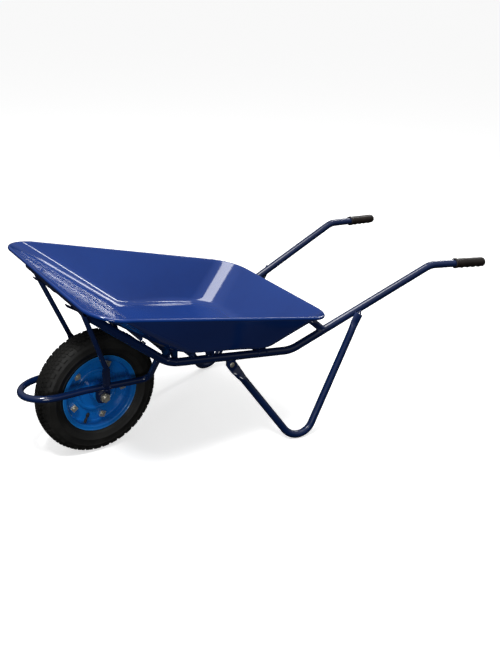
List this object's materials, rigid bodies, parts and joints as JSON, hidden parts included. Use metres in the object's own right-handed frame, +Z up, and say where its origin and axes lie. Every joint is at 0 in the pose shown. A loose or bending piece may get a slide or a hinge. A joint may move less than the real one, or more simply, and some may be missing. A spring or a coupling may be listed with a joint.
{
  "type": "wheelbarrow",
  "caption": "Wheelbarrow with a pressed steel tray on a bent tube frame, V-shaped legs, rubber grips and a pneumatic front wheel inside a tube guard.",
  "frame": {"origin": "on the floor, at the middle of the barrow's overall length and width", "axes": "+Z up, +X from the wheel towards the handles, +Y to the right of a person who pushes it"},
  "size_m": [1.498, 0.6888, 0.546],
  "materials": {
    "tray_enamel": "gloss",
    "frame_enamel": "gloss",
    "rim_enamel": "gloss",
    "plated": "satin",
    "bearing_steel": "satin",
    "tyre": "matte",
    "butyl": "matte",
    "grip": "satin"
  },
  "bodies": {
    "frame": {"main_tube_left": "frame_enamel", "main_tube_right": "frame_enamel", "nose_tube": "frame_enamel", "nose_screw_left": "tray_enamel", "nose_screw_right": "tray_enamel", "upper_cross_rod": "frame_enamel", "front_cross_channel": "frame_enamel", "cross_rod": "frame_enamel", "mid_cross_tube": "frame_enamel", "rear_cross_channel": "frame_enamel", "rear_tray_support": "frame_enamel", "tray": "tray_enamel", "tray_stud_1": "frame_enamel", "tray_stud_2": "frame_enamel", "tray_stud_3": "frame_enamel", "tray_stud_4": "frame_enamel", "tray_nut_1": "plated", "tray_nut_2": "plated", "tray_nut_3": "plated", "tray_nut_4": "plated", "wheel_guard": "frame_enamel", "stay_left": "frame_enamel", "stay_right": "frame_enamel", "axle_bracket_left": "frame_enamel", "axle_bracket_right": "frame_enamel", "leg_left": "frame_enamel", "leg_right": "frame_enamel", "leg_lug_left": "frame_enamel", "leg_lug_right": "frame_enamel", "leg_bolt_left": "plated", "leg_bolt_right": "plated", "leg_nut_left": "plated", "leg_nut_right": "plated", "grip_left": "grip", "grip_right": "grip", "axle": "plated", "axle_nut_left": "plated", "axle_nut_right": "plated", "axle_spacer_left": "plated", "axle_spacer_right": "plated"},
    "wheel": {"tyre": "tyre", "inner_tube": "butyl", "rim_left": "rim_enamel", "rim_right": "rim_enamel", "hub": "rim_enamel", "bearing_left": "bearing_steel", "bearing_right": "bearing_steel", "valve_stem": "butyl", "rim_bolt_1": "plated", "rim_bolt_2": "plated", "rim_bolt_3": "plated", "rim_bolt_4": "plated", "rim_bolt_5": "plated", "rim_nut_1": "plated", "rim_nut_2": "plated", "rim_nut_3": "plated", "rim_nut_4": "plated", "rim_nut_5": "plated"}
  },
  "joints": [
    {"name": "wheel_spin", "type": "hinge", "parent": "frame", "child": "wheel", "pos_m": [-0.5215, 0, 0.177], "axis": [0, 1, 0], "continuous": true}
  ]
}
